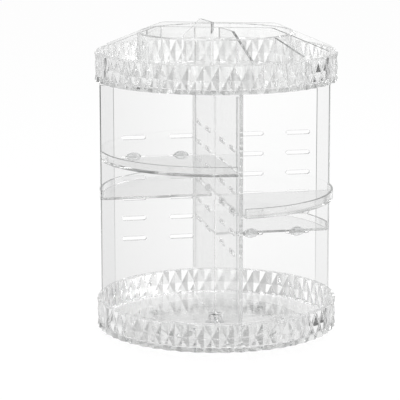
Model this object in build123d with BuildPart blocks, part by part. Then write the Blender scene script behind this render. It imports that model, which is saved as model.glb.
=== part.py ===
from build123d import *
import os
from math import atan2, cos, degrees, hypot, pi, sin, sqrt

# Rotating makeup organizer in clear plastic. Two round trays with lozenge-cut rims stand on a cross of
# two slotted panels. Four quarter-round trays hook into the slots, a divider drops into the top tray,
# and the bottom tray turns on a ball bearing.
# Origin on the table under the axis, +Z up, X along the left-right panel, -Y towards the viewer.
# Driving dimensions in millimetres and degrees.

# Feet and base plate
foot_radius = 6.5
foot_height = 1.2
foot_count = 4
foot_angle = 45.0
foot_margin = 4.5
base_radius = 69.0
base_thick = 2.0
base_chamfer = 0.4

# Ball bearing
ball_radius = 1.5
ball_count = 24
ball_track_radius = 48.0
ball_clearance = 0.1
cage_gap = 1.6
cage_thick = 0.8
cage_margin = 3.0
race_thick = 1.6
race_margin = 2.0

# Race screws
race_screw_count = 4
race_screw_angle = 45.0
race_screw_margin = 4.0
race_screw_radius = 1.2
race_screw_head_radius = 2.3
race_screw_head_height = 1.0
race_screw_bite = 1.8
screw_clearance = 0.1
screw_slot_width = 0.7
screw_slot_depth = 0.4

# Pivot at the centre of the turntable
boss_radius = 5.0
pivot_play = 0.3
collar_radius = 6.5
collar_height = 4.0
washer_radius = 9.0
washer_thick = 0.8
washer_play = 0.2
pivot_screw_radius = 1.5
pivot_screw_head_radius = 3.4
pivot_screw_head_height = 0.8
pivot_screw_bite = 8.0
bore_tip_room = 0.5

# Round trays
rim_radius = 94.0
rim_height = 22.2
rim_lip_height = 1.3
rim_wall = 1.9
facet_count = 52
facet_depth = 1.8
tray_floor = 2.4
tray_corner = 2.0

# Crossed panels
panel_thick = 2.8
panel_height = 191.6
panel_reach = 91.3
panel_foot_gap = 0.6
panel_rim_gap = 0.5
panel_bottom_corner = 14.0
panel_top_corner = 3.0
lap_fit = 0.1
tab_width = 18.0
tab_depth = 1.5
tab_radius = 46.0
tab_fit = 0.1
collar_room = 1.2

# Hook slots in the panels
slot_length = 19.0
slot_height = 3.0
slot_inner_radius = 27.9
slot_edge_margin = 16.5
first_row_height = 67.9
row_pitch = 15.9
row_count = 6

# Quarter-round trays
quarter_radius = 91.2
quarter_height = 7.3
quarter_floor = 2.0
quarter_wall = 2.0
quarter_corner = 1.0
hook_side_gap = 2.0
free_side_gap = 0.5
hook_width = 10.0
hook_thick = 2.0
hook_lip_width = 12.5
hook_lip_height = 8.0
hook_lip_thick = 1.8
hook_fit = 0.3

# Slot rows that lie below each quarter tray
front_left_row_count = 4
front_right_row_count = 2
back_right_row_count = 0
back_left_row_count = 2

# Divider insert of the top tray
divider_turn = -17.6
divider_wall = 2.2
divider_height = 39.2
divider_end_height = 21.8
divider_flat_radius = 48.0
divider_fit = 0.5
divider_ring_radius = 61.3
long_wall_distance = 17.8
cross_wall_foot = 4.5
cross_wall_angle = 25.2
spoke_angle = 52.5

# Heights and radii that follow from the driving dimensions
base_top = foot_height + base_thick
race_bottom = base_top + cage_gap
ball_height = base_top + cage_gap / 2
tray_bottom = race_bottom + race_thick
tray_floor_top = tray_bottom + tray_floor
race_radius = base_radius - race_margin
race_screw_circle = race_radius - race_screw_margin
washer_top = foot_height + base_thick / 2 - washer_play
rim_inner_radius = rim_radius - facet_depth - rim_wall
facet_height = rim_height - rim_lip_height
panel_foot_reach = rim_inner_radius - panel_foot_gap
panel_step = tray_bottom + rim_height + panel_rim_gap
panel_middle = tray_floor_top + panel_height / 2
top_tray_bottom = tray_floor_top + panel_height
top_floor_top = top_tray_bottom + tray_floor
slot_radii = [slot_inner_radius, panel_reach - slot_edge_margin - slot_length / 2]
row_heights = [tray_floor_top + first_row_height + row * row_pitch for row in range(row_count)]
divider_reach = rim_inner_radius - divider_fit
cross_foot_radius = hypot(cross_wall_foot, long_wall_distance)
cross_foot_angle = -degrees(atan2(long_wall_distance, cross_wall_foot))


def faceted_drum(bottom):
    """Solid drum whose side is cut into lozenges. Its side points stand at the rim radius and at
    facet_depth below it by turns, round the drum and from one level to the next, and each four-sided
    patch is folded along its two low corners."""
    point_count = 2 * facet_count
    rings = []
    for level in range(3):
        ring = []
        for step in range(point_count):
            radius = rim_radius - facet_depth * ((step + level) % 2)
            angle = 2 * pi * step / point_count
            ring.append(Vector(radius * cos(angle), radius * sin(angle), bottom + level * facet_height / 2))
        rings.append(ring)
    faces = [Face(Wire.make_polygon(rings[0])), Face(Wire.make_polygon(rings[-1]))]
    for level in range(2):
        lower, upper = rings[level], rings[level + 1]
        for step in range(point_count):
            after = (step + 1) % point_count
            corners = [lower[step], lower[after], upper[after], upper[step]]
            if (step + level) % 2 == 0:
                corners = corners[1:] + corners[:1]
            faces.append(Face(Wire.make_polygon([corners[0], corners[1], corners[2]])))
            faces.append(Face(Wire.make_polygon([corners[0], corners[2], corners[3]])))
    return Solid(Shell(faces))


def rim_tray(bottom):
    """Open round tray with a lozenge-cut rim, a plain lip along its edge and a rounded inner corner."""
    with BuildPart() as tray:
        add(faceted_drum(bottom))
        with BuildSketch(Plane.XY.offset(bottom + facet_height)):
            Circle(rim_radius - facet_depth / 2)
        extrude(amount=rim_lip_height)
        with BuildSketch(Plane.XZ) as hollow:
            with Locations((0, bottom + tray_floor)):
                Rectangle(rim_inner_radius, rim_height - tray_floor, align=(Align.MIN, Align.MIN))
            fillet(hollow.vertices().group_by(Axis.X)[-1].sort_by(Axis.Y)[0], tray_corner)
        revolve(axis=Axis.Z, mode=Mode.SUBTRACT)
    return tray.part


def tab_sockets(plane):
    """Sketch of the four sockets that take the tabs of both panels, on the given plane."""
    with BuildSketch(plane) as sockets:
        with PolarLocations(tab_radius, 4):
            Rectangle(tab_width + 2 * tab_fit, panel_thick + 2 * tab_fit)
    return sockets.sketch


def panel(plane, lap_from_top):
    """Slotted panel standing on the given upright plane, with its half of the cross lap open at the
    top or at the bottom."""
    with BuildPart() as board:
        with BuildSketch(plane) as outline:
            with Locations((0, tray_floor_top)):
                Rectangle(2 * panel_foot_reach, panel_height, align=(Align.CENTER, Align.MIN))
            fillet(outline.vertices().group_by(Axis.Y)[0], panel_bottom_corner)
            with Locations((0, panel_step)):
                Rectangle(2 * panel_reach, top_tray_bottom - panel_step, align=(Align.CENTER, Align.MIN))
            fillet(outline.vertices().group_by(Axis.Y)[-1], panel_top_corner)
            for side in (-tab_radius, tab_radius):
                with Locations((side, panel_middle)):
                    Rectangle(tab_width, panel_height + 2 * tab_depth)
            with Locations((0, tray_floor_top)):
                Rectangle(
                    2 * (collar_radius + collar_room),
                    collar_height + collar_room,
                    align=(Align.CENTER, Align.MIN),
                    mode=Mode.SUBTRACT,
                )
            with Locations((0, panel_middle)):
                Rectangle(
                    panel_thick + 2 * lap_fit,
                    panel_height / 2,
                    align=(Align.CENTER, Align.MIN if lap_from_top else Align.MAX),
                    mode=Mode.SUBTRACT,
                )
            for height in row_heights:
                for radius in slot_radii:
                    with Locations((-radius, height), (radius, height)):
                        SlotOverall(slot_length, slot_height, mode=Mode.SUBTRACT)
        extrude(amount=panel_thick / 2, both=True)
    return board.part


def quarter_tray(height, turn):
    """Quarter-round tray hung at a slot height, with a wall along its arc and open towards the panels.
    Before its turn about the axis it lies at -X and -Y and hooks through the panel that lies on X."""
    frame = Plane.XY.offset(height).rotated((0, 0, turn))
    under = frame.offset(-hook_thick / 2)
    corner_x = -panel_thick / 2 - free_side_gap
    corner_y = -panel_thick / 2 - hook_side_gap
    far_x = -sqrt(quarter_radius**2 - corner_y**2)
    far_y = -sqrt(quarter_radius**2 - corner_x**2)
    bow = -quarter_radius * sqrt(0.5)
    lip_gap = panel_thick / 2 + hook_fit
    lip_plane = Plane(frame.from_local_coords((0, lip_gap, 0)), frame.x_dir, frame.y_dir)
    stop_plane = Plane(frame.from_local_coords((0, corner_y, 0)), frame.x_dir, frame.y_dir)

    with BuildPart() as tray:
        with BuildSketch(under) as outline:
            with BuildLine():
                Polyline((corner_x, far_y), (corner_x, corner_y), (far_x, corner_y))
                ThreePointArc((far_x, corner_y), (bow, bow), (corner_x, far_y))
            make_face()
            fillet(outline.vertices(), quarter_corner)
        extrude(amount=quarter_height)
        with BuildSketch(under.offset(quarter_floor)):
            Circle(quarter_radius - quarter_wall)
        extrude(amount=quarter_height - quarter_floor, mode=Mode.SUBTRACT)
        with BuildSketch(under):
            for radius in slot_radii:
                with Locations((-radius, corner_y - quarter_wall / 2)):
                    Rectangle(
                        hook_width,
                        lip_gap + hook_lip_thick - corner_y + quarter_wall / 2,
                        align=(Align.CENTER, Align.MIN),
                    )
        extrude(amount=hook_thick)
        with BuildSketch(lip_plane):
            for radius in slot_radii:
                with Locations((-radius, 0)):
                    Ellipse(hook_lip_width / 2, hook_lip_height / 2)
                with Locations((-radius, hook_thick / 2)):
                    Rectangle(
                        hook_lip_width,
                        hook_lip_height,
                        align=(Align.CENTER, Align.MIN),
                        mode=Mode.SUBTRACT,
                    )
        extrude(amount=hook_lip_thick)
        with BuildSketch(stop_plane):
            for radius in slot_radii:
                with Locations((-radius, 0)):
                    Ellipse(hook_lip_width / 2, hook_lip_height / 2)
                with Locations((-radius, -hook_thick / 2)):
                    Rectangle(
                        hook_lip_width,
                        hook_lip_height,
                        align=(Align.CENTER, Align.MAX),
                        mode=Mode.SUBTRACT,
                    )
        extrude(amount=hook_side_gap - hook_fit)
    return tray.part


# Base plate with its half of the ball track and a recess for the washer
with BuildPart() as base_plate:
    with BuildSketch(Plane.XY.offset(foot_height)):
        Circle(base_radius)
        Circle(boss_radius + pivot_play, mode=Mode.SUBTRACT)
    extrude(amount=base_thick)
    outer_edges = base_plate.edges().filter_by(GeomType.CIRCLE).sort_by(SortBy.RADIUS)[-2:]
    chamfer(outer_edges, base_chamfer)
    with BuildSketch(Plane.XY.offset(foot_height)):
        Circle(washer_radius + pivot_play)
    extrude(amount=base_thick / 2, mode=Mode.SUBTRACT)
    with BuildSketch(Plane.XZ):
        with Locations((ball_track_radius, ball_height)):
            Circle(ball_radius + ball_clearance)
    revolve(axis=Axis.Z, mode=Mode.SUBTRACT)

with BuildPart() as base_feet:
    with BuildSketch():
        with PolarLocations(base_radius - foot_radius - foot_margin, foot_count, foot_angle):
            Circle(foot_radius)
    extrude(amount=foot_height)

# Ball bearing between the base plate and the race
with BuildPart() as bearing_balls:
    with Locations((0, 0, ball_height)):
        with PolarLocations(ball_track_radius, ball_count):
            Sphere(ball_radius)

with BuildPart() as ball_cage:
    with BuildSketch(Plane.XY.offset(ball_height - cage_thick / 2)):
        Circle(ball_track_radius + ball_radius + cage_margin)
        Circle(ball_track_radius - ball_radius - cage_margin, mode=Mode.SUBTRACT)
        with PolarLocations(ball_track_radius, ball_count):
            Circle(ball_radius + ball_clearance, mode=Mode.SUBTRACT)
    extrude(amount=cage_thick)

with BuildPart() as upper_race:
    with BuildSketch(Plane.XY.offset(race_bottom)):
        Circle(race_radius)
        Circle(boss_radius + pivot_play, mode=Mode.SUBTRACT)
    extrude(amount=race_thick)
    with BuildSketch(Plane.XZ):
        with Locations((ball_track_radius, ball_height)):
            Circle(ball_radius + ball_clearance)
    revolve(axis=Axis.Z, mode=Mode.SUBTRACT)
    with Locations((0, 0, race_bottom)):
        with PolarLocations(race_screw_circle, race_screw_count, race_screw_angle):
            Cone(
                race_screw_head_radius + screw_clearance,
                race_screw_radius + screw_clearance,
                race_screw_head_height,
                align=(Align.CENTER, Align.CENTER, Align.MIN),
                mode=Mode.SUBTRACT,
            )
            Cylinder(
                race_screw_radius + screw_clearance,
                race_thick,
                align=(Align.CENTER, Align.CENTER, Align.MIN),
                mode=Mode.SUBTRACT,
            )

with BuildPart() as race_screws:
    with Locations((0, 0, race_bottom)):
        with PolarLocations(race_screw_circle, race_screw_count, race_screw_angle):
            Cone(
                race_screw_head_radius,
                race_screw_radius,
                race_screw_head_height,
                align=(Align.CENTER, Align.CENTER, Align.MIN),
            )
            Cylinder(
                race_screw_radius,
                race_thick + race_screw_bite,
                align=(Align.CENTER, Align.CENTER, Align.MIN),
            )
            Box(
                2 * race_screw_head_radius,
                screw_slot_width,
                2 * screw_slot_depth,
                mode=Mode.SUBTRACT,
            )

# Pivot that holds the carousel down on the base plate
with BuildPart() as pivot_washer:
    with BuildSketch(Plane.XY.offset(washer_top - washer_thick)):
        Circle(washer_radius)
        Circle(pivot_screw_radius + screw_clearance, mode=Mode.SUBTRACT)
    extrude(amount=washer_thick)

with BuildPart() as pivot_screw:
    with BuildSketch(Plane.XY.offset(washer_top - washer_thick)):
        Circle(pivot_screw_head_radius)
    extrude(amount=-pivot_screw_head_height)
    with BuildSketch(Plane.XY.offset(washer_top - washer_thick)):
        Circle(pivot_screw_radius)
    extrude(amount=washer_thick + pivot_screw_bite)
    with BuildSketch(Plane.XY.offset(washer_top - washer_thick - pivot_screw_head_height)):
        with PolarLocations(0, 2, angular_range=180):
            Rectangle(pivot_screw_head_radius, screw_slot_width)
    extrude(amount=screw_slot_depth, mode=Mode.SUBTRACT)

# Bottom tray with the pivot boss below its floor and a collar above it
with BuildPart() as bottom_tray:
    add(rim_tray(tray_bottom))
    with BuildSketch(Plane.XY.offset(washer_top)):
        Circle(boss_radius)
    extrude(amount=tray_floor_top - washer_top)
    with BuildSketch(Plane.XY.offset(tray_floor_top)):
        Circle(collar_radius)
    extrude(amount=collar_height)
    with BuildSketch(Plane.XY.offset(washer_top)):
        Circle(pivot_screw_radius + screw_clearance)
    extrude(amount=pivot_screw_bite + bore_tip_room, mode=Mode.SUBTRACT)
    add(tab_sockets(Plane.XY.offset(tray_floor_top)))
    extrude(amount=-tab_depth - tab_fit, mode=Mode.SUBTRACT)
    with BuildSketch(Plane.XY.offset(tray_bottom)):
        with PolarLocations(race_screw_circle, race_screw_count, race_screw_angle):
            Circle(race_screw_radius + screw_clearance)
    extrude(amount=race_screw_bite + screw_clearance, mode=Mode.SUBTRACT)

# Crossed panels
with BuildPart() as left_right_panel:
    add(panel(Plane.XZ, lap_from_top=True))

with BuildPart() as front_back_panel:
    add(panel(Plane.YZ, lap_from_top=False))

# Top tray, seated on the panels' tabs
with BuildPart() as top_tray:
    add(rim_tray(top_tray_bottom))
    add(tab_sockets(Plane.XY.offset(top_tray_bottom)))
    extrude(amount=tab_depth + tab_fit, mode=Mode.SUBTRACT)

# Divider insert: a ring and walls on one plan, their tops turned to a flat and a cone
with BuildPart() as divider_insert:
    with BuildSketch(Plane.XY.offset(top_floor_top).rotated((0, 0, divider_turn))):
        Circle(divider_ring_radius)
        Circle(divider_ring_radius - divider_wall, mode=Mode.SUBTRACT)
        with Locations((0, -long_wall_distance), (0, long_wall_distance)):
            Rectangle(2 * divider_reach, divider_wall)
        with PolarLocations(cross_foot_radius, 2, cross_foot_angle):
            Rectangle(
                divider_reach,
                divider_wall,
                rotation=cross_wall_angle - 90 - cross_foot_angle,
                align=(Align.MIN, Align.CENTER),
            )
        with PolarLocations((divider_ring_radius + divider_reach) / 2, 2, spoke_angle - 90):
            Rectangle(divider_reach - divider_ring_radius + divider_wall, divider_wall)
        Circle(divider_reach, mode=Mode.INTERSECT)
    extrude(amount=divider_height)
    with BuildSketch(Plane.XZ):
        with BuildLine():
            Polyline(
                (0, top_floor_top),
                (divider_reach - tray_corner, top_floor_top),
                (divider_reach, top_floor_top + tray_corner),
                (divider_reach, top_floor_top + divider_end_height),
                (divider_flat_radius, top_floor_top + divider_height),
                (0, top_floor_top + divider_height),
                close=True,
            )
        make_face()
    revolve(axis=Axis.Z, mode=Mode.INTERSECT)

pieces = {
    "base_plate": base_plate.part,
    "base_feet": base_feet.part,
    "ball_cage": ball_cage.part,
    "bearing_balls": bearing_balls.part,
    "upper_race": upper_race.part,
    "race_screws": race_screws.part,
    "pivot_screw": pivot_screw.part,
    "pivot_washer": pivot_washer.part,
    "bottom_tray": bottom_tray.part,
    "left_right_panel": left_right_panel.part,
    "front_back_panel": front_back_panel.part,
    "top_tray": top_tray.part,
    "divider_insert": divider_insert.part,
}
quarter_trays = {
    "front_left_tray": front_left_row_count,
    "front_right_tray": front_right_row_count,
    "back_right_tray": back_right_row_count,
    "back_left_tray": back_left_row_count,
}
for place, (name, rows_below) in enumerate(quarter_trays.items()):
    pieces[name] = quarter_tray(row_heights[rows_below], 90 * place)

os.makedirs("parts", exist_ok=True)
for name, piece in pieces.items():
    piece.label = name
    export_step(piece, f"parts/{name}.step")
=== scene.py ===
"""Clear plastic rotating organizer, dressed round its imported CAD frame.

Two round trays with lozenge-cut rims, a cross of two slotted panels, four quarter trays hooked into the
slots and a divider insert are built as numpy surfaces. The turntable under them keeps its CAD solids.
"""
from functools import partial
from math import atan2, cos, pi, radians, sin, sqrt

import bmesh
import bpy
import numpy as np
from bpy.props import FloatProperty, FloatVectorProperty, IntProperty, PointerProperty
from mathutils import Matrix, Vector
from mathutils.geometry import tessellate_polygon


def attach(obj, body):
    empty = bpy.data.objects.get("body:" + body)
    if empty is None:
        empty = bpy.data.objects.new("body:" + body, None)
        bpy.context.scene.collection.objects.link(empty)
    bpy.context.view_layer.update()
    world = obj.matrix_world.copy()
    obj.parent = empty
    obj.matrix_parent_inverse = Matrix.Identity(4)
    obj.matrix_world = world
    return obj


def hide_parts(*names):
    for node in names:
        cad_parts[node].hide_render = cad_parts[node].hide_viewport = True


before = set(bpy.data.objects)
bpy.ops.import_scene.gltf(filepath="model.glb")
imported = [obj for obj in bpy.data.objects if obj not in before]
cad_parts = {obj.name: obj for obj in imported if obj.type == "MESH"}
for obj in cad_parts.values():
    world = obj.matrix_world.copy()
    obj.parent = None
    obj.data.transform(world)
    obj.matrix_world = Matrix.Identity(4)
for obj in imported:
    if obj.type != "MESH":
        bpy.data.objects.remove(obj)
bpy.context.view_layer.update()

bl_info = {
    "name": "Rotating Organizer",
    "version": (1, 0, 0),
    "blender": (4, 5, 0),
    "location": "View3D > Sidebar > Organizer",
    "description": "Builds the looks of a clear rotating organizer round its CAD frame",
    "category": "Object",
}

MM = 0.001
# Points round a rim, two for each lozenge
FACET_POINTS = 104
# Folds that stay hard edges: between facets, and on the other pieces
FACET_CREASE = radians(15)
EDGE_CREASE = radians(33)
# How far a normal points up or down on a face that lies about level
LEVEL = 0.6
# How far a cutter reaches past the face it cuts, a hook is sunk into its tray, and places may differ
OVERCUT = 1.0 * MM
SUNK = 0.1 * MM
NEAR = 0.01 * MM
# Share of a relief past which a face lies on its top, not on its sloped edge
PAST_SLOPE = 0.6
# Rays that have met more faces than this pass straight through clear plastic, as shadow rays do
DEEP_RAY = 12.0
BOUNCES = 32
# Camera sensor in millimetres, and the nearest and farthest that it sees in metres
SENSOR_WIDTH = 36.0
NEAREST, FARTHEST = 0.05, 50.0


def length(name, millimetres, description):
    """Length property whose default is given in millimetres."""
    return FloatProperty(
        name=name, description=description, default=millimetres * MM, min=0.0, precision=5, unit="LENGTH"
    )


def angle(name, turn, description):
    """Angle property whose default is given in degrees."""
    return FloatProperty(name=name, description=description, default=radians(turn), subtype="ANGLE")


def colour(name, rgb, description):
    """Linear colour property."""
    return FloatVectorProperty(
        name=name, description=description, default=rgb, size=3, min=0.0, max=1.0, subtype="COLOR"
    )


def amount(name, value, description):
    """Plain number property."""
    return FloatProperty(name=name, description=description, default=value, min=0.0, precision=4)


class RoundTraySizes(bpy.types.PropertyGroup):
    """Sizes of the two round trays."""

    rim_radius: length("Rim radius", 94.0, "Radius to the tips of the lozenges")
    rim_height: length("Rim height", 22.2, "Height of the rim from the tray's underside")
    lip_height: length("Lip height", 1.3, "Height of the plain lip above the lozenges")
    lip_blend: length("Lip blend", 0.45, "Height over which the lozenges run into the lip")
    wall: length("Wall", 1.9, "Thickness of the rim behind the valleys of the lozenges")
    facet_depth: length("Facet depth", 1.8, "Depth of the valleys between the lozenges")
    floor: length("Floor", 2.4, "Thickness of the tray floor")
    corner: length("Inner corner", 2.0, "Radius between floor and rim")
    lip_round: length("Lip round", 0.45, "Radius of the lip's edges")
    seat_gap: length("Seat gap", 0.03, "Air under a tray, so that its underside stays a face of its own")
    bottom_level: length("Bottom tray level", 6.4, "Height of the bottom tray's underside")
    top_level: length("Top tray level", 200.4, "Height of the top tray's underside")
    socket_length: length("Socket length", 18.2, "Length of the sockets for the panel tabs")
    socket_width: length("Socket width", 3.0, "Width of the sockets for the panel tabs")
    socket_depth: length("Socket depth", 1.6, "Depth of the sockets for the panel tabs")
    socket_radius: length("Socket radius", 46.0, "Distance of the sockets from the axis")


class PivotSizes(bpy.types.PropertyGroup):
    """Sizes of the pivot and screw holes under the bottom tray."""

    boss_radius: length("Boss radius", 5.0, "Radius of the boss below the floor")
    boss_level: length("Boss level", 2.0, "Height of the boss's lower end")
    bore_radius: length("Bore radius", 1.6, "Radius of the bore for the pivot screw")
    bore_top: length("Bore top", 10.5, "Height of the bore's blind end")
    collar_radius: length("Collar radius", 6.5, "Radius of the collar above the floor")
    collar_height: length("Collar height", 4.0, "Height of the collar above the floor")
    hole_radius: length("Screw hole radius", 1.3, "Radius of the race screw holes")
    hole_depth: length("Screw hole depth", 1.9, "Depth of the race screw holes")
    hole_circle: length("Screw hole circle", 63.0, "Distance of the race screw holes from the axis")


class PanelSizes(bpy.types.PropertyGroup):
    """Sizes of the two crossed panels."""

    thick: length("Thickness", 2.8, "Thickness of a panel")
    foot: length("Foot level", 8.83, "Height of a panel's lower edge")
    head: length("Head level", 200.4, "Height of a panel's upper edge")
    reach: length("Reach", 91.3, "Distance of a panel's ends from the axis")
    foot_reach: length("Foot reach", 89.7, "Distance of a panel's ends from the axis inside the rim")
    step: length("Step level", 29.1, "Height where a panel widens above the rim")
    foot_corner: length("Foot corner", 14.0, "Radius of the lower corners")
    head_corner: length("Head corner", 3.0, "Radius of the upper corners")
    edge_round: length("Edge round", 0.35, "Radius of all the cut edges")
    band_width: length("Band width", 10.7, "Width of the raised band along a panel's ends")
    band_relief: length("Band relief", 0.02, "How far the band stands out of each face")
    lap_width: length("Lap width", 3.0, "Width of the notch where the panels cross")
    collar_width: length("Collar notch width", 15.4, "Width of the notch over the tray's collar")
    collar_height: length("Collar notch height", 5.2, "Height of the notch over the tray's collar")
    tab_radius: length("Tab radius", 46.0, "Distance of the tabs from the axis")
    tab_width: length("Tab width", 18.0, "Width of a tab")
    tab_depth: length("Tab depth", 1.5, "How far a tab enters the tray floor")
    slot_length: length("Slot length", 19.0, "Length of a hook slot")
    slot_height: length("Slot height", 3.0, "Height of a hook slot")
    slot_inner: length("Inner slot radius", 27.9, "Distance of the inner slots from the axis")
    slot_outer: length("Outer slot radius", 65.3, "Distance of the outer slots from the axis")
    first_row: length("First row", 76.7, "Height of the lowest row of slots")
    row_pitch: length("Row pitch", 15.9, "Distance between rows of slots")
    row_count: IntProperty(name="Rows", description="Rows of slots in a panel", default=6, min=1)


class QuarterTraySizes(bpy.types.PropertyGroup):
    """Sizes of the four hook-on quarter trays."""

    radius: length("Radius", 91.2, "Outer radius of a quarter tray")
    height: length("Height", 7.3, "Height of a quarter tray")
    floor: length("Floor", 2.0, "Thickness of the floor")
    wall: length("Wall", 2.0, "Thickness of the wall")
    corner: length("Corner", 1.0, "Radius of the corners in plan")
    hook_side: length("Hook side", 3.4, "Distance of the hooked side from the panel's middle")
    free_side: length("Free side", 1.9, "Distance of the free side from the other panel's middle")
    edge_round: length("Edge round", 0.4, "Radius of the tray's edges")
    hook_width: length("Hook width", 10.0, "Width of a hook")
    hook_thick: length("Hook thickness", 2.0, "Thickness of a hook")
    lip_width: length("Hook lip width", 12.5, "Width of the oval hook plates")
    lip_height: length("Hook lip height", 8.0, "Height of the oval hook plates")
    lip_thick: length("Hook lip thickness", 1.8, "Thickness of the plate behind the panel")
    lip_gap: length("Hook lip gap", 1.7, "Distance of the plate from the panel's middle")
    stop_thick: length("Stop thickness", 1.7, "Thickness of the plate before the panel")
    dome: amount("Dome", 0.85, "How far a hook plate's front is drawn in from its outline, as a share")
    front_left: IntProperty(name="Front left row", description="Slot rows below the tray", default=4)
    front_right: IntProperty(name="Front right row", description="Slot rows below the tray", default=2)
    back_right: IntProperty(name="Back right row", description="Slot rows below the tray", default=0)
    back_left: IntProperty(name="Back left row", description="Slot rows below the tray", default=2)


class DividerSizes(bpy.types.PropertyGroup):
    """Sizes of the divider insert in the top tray."""

    foot: length("Foot level", 202.83, "Height of the insert's foot on the tray floor")
    height: length("Height", 39.17, "Height of the walls over the flat middle")
    end_height: length("End height", 21.77, "Height of the walls at the rim")
    flat_radius: length("Flat radius", 48.0, "Radius where the tops begin to fall")
    reach: length("Reach", 89.8, "Distance of the wall ends from the axis")
    foot_corner: length("Foot corner", 2.0, "Cut of the wall ends over the tray's rounded corner")
    wall: length("Wall", 2.2, "Thickness of the walls")
    edge_round: length("Edge round", 0.2, "Radius of the wall edges")
    ring_radius: length("Ring radius", 61.3, "Outer radius of the ring")
    long_distance: length("Long wall distance", 17.8, "Distance of the long walls from the axis")
    cross_foot: length("Cross wall foot", 4.5, "Where a cross wall leaves its long wall")
    turn: angle("Turn", -17.6, "Turn of the insert in the tray")
    cross_angle: angle("Cross wall angle", -64.8, "Direction of the cross walls")
    spoke_angle: angle("Spoke angle", -37.5, "Direction of the spokes outside the ring")


class Finishes(bpy.types.PropertyGroup):
    """Colours and surface values of the materials."""

    clear: colour("Clear plastic", (0.986, 0.987, 0.986), "Tint of light that crosses the plastic")
    # Painted shade: the bands along the panels' ends are the same clear plastic as the rest, given a darker
    # tint in place of the shade that they show
    bands: colour("Bands", (0.925, 0.927, 0.927), "Tint of the bands along the panels' ends")
    # Painted shade: the narrow edges and tops of trays and walls are the same clear plastic, tinted dark to
    # paint in the dark lines that light makes along them
    edges: colour("Edges", (0.6, 0.605, 0.605), "Tint of the narrow edges of trays and walls")
    # Painted shade: the hook plates are the same clear plastic as their tray, tinted darker to paint in the
    # shade that they show
    hooks: colour("Hooks", (0.8, 0.805, 0.805), "Tint of the thick hook plates")
    clear_depth: colour("Clear depth", (0.85, 0.854, 0.852), "Colour of the plastic along a thick edge")
    clear_density: amount("Clear density", 10.0, "How fast the plastic darkens with depth, per metre")
    clear_bend: amount("Clear bend", 1.5, "Index of refraction of the plastic")
    clear_pass: colour("Clear pass", (0.97, 0.97, 0.97), "Tint of light that passes the plastic straight on")
    frosted: colour("Frosted plastic", (0.95, 0.95, 0.95), "Bearing cage and balls")
    rubber: colour("Rubber", (0.62, 0.64, 0.63), "Soft feet")
    steel: colour("Steel", (0.56, 0.57, 0.58), "Zinc plated screws and washer")


class StageSettings(bpy.types.PropertyGroup):
    """Floor, lights and camera."""

    floor: colour("Floor", (0.86, 0.86, 0.86), "Colour of the floor under the lamps")
    floor_radius: length("Floor radius", 9000.0, "Radius of the floor")
    shadow: amount("Shadow", 0.14, "How much of the object's shadow shows on the white floor")
    near_shadow: amount("Near shadow", 0.1, "How much of the shadow shows through clear plastic")
    sky: amount("Sky", 1.0, "Light of the studio on matt surfaces")
    side: amount("Side", 0.58, "Tone of the studio at the sides, in gloss and through clear plastic")
    dim: amount("Dim", 0.85, "Tone of the backdrop just left of the middle")
    flag: amount("Flag", 0.05, "Tone of the dark flag on the right")
    lens: FloatProperty(name="Lens", description="Focal length on a 36 mm sensor", default=173.9, min=1.0)
    distance: length("Distance", 1485.7, "Horizontal distance of the camera from the axis")
    camera_height: length("Camera height", 398.4, "Height of the camera")
    azimuth: angle("Azimuth", -11.62, "Direction of the camera round the axis")
    pitch: angle("Pitch", 11.196, "How far the camera looks down")
    shift: FloatProperty(name="Shift", description="Sideways shift of the picture", default=-0.0407)


SETTINGS = {
    "organizer_round": RoundTraySizes,
    "organizer_pivot": PivotSizes,
    "organizer_panel": PanelSizes,
    "organizer_quarter": QuarterTraySizes,
    "organizer_divider": DividerSizes,
    "organizer_finish": Finishes,
    "organizer_stage": StageSettings,
}


# Numpy surfaces


def lattice(rows, columns, first=0, closed_rows=False):
    """Quads of a grid of points whose columns run round and close. Rows close too if asked."""
    row = np.arange(rows if closed_rows else rows - 1)[:, None]
    column = np.arange(columns)[None, :]
    after_row = (row + 1) % rows
    after_column = (column + 1) % columns
    corners = (
        row * columns + column,
        row * columns + after_column,
        after_row * columns + after_column,
        after_row * columns + column,
    )
    return np.stack(corners, axis=-1).reshape(-1, 4) + first


def new_piece(name, points, quads, others=()):
    """Closed mesh from points, an array of quads and a list of other faces, facing outwards."""
    mesh = bpy.data.meshes.new(name)
    faces = [tuple(quad) for quad in np.asarray(quads).tolist()]
    mesh.from_pydata(np.asarray(points).tolist(), [], faces + [tuple(face) for face in others])
    shell = bmesh.new()
    shell.from_mesh(mesh)
    bmesh.ops.recalc_face_normals(shell, faces=shell.faces)
    if shell.calc_volume(signed=True) < 0:
        bmesh.ops.reverse_faces(shell, faces=shell.faces)
    shell.to_mesh(mesh)
    shell.free()
    piece = bpy.data.objects.new(name, mesh)
    bpy.context.scene.collection.objects.link(piece)
    return piece


def baked(piece):
    """Gives a piece the mesh that its modifiers make, and drops the modifiers."""
    bpy.context.view_layer.update()
    graph = bpy.context.evaluated_depsgraph_get()
    mesh = bpy.data.meshes.new_from_object(piece.evaluated_get(graph))
    old = piece.data
    piece.modifiers.clear()
    piece.data = mesh
    bpy.data.meshes.remove(old)
    mesh.name = piece.name
    return piece


def combine(piece, others, operation):
    """Joins other closed pieces to a piece, or cuts them from it, and removes them."""
    for number, other in enumerate(others):
        step = piece.modifiers.new(f"{operation} {number}", "BOOLEAN")
        step.operation = operation
        step.solver = "EXACT"
        step.object = other
    baked(piece)
    for other in others:
        mesh = other.data
        bpy.data.objects.remove(other)
        bpy.data.meshes.remove(mesh)
    return piece


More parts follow.
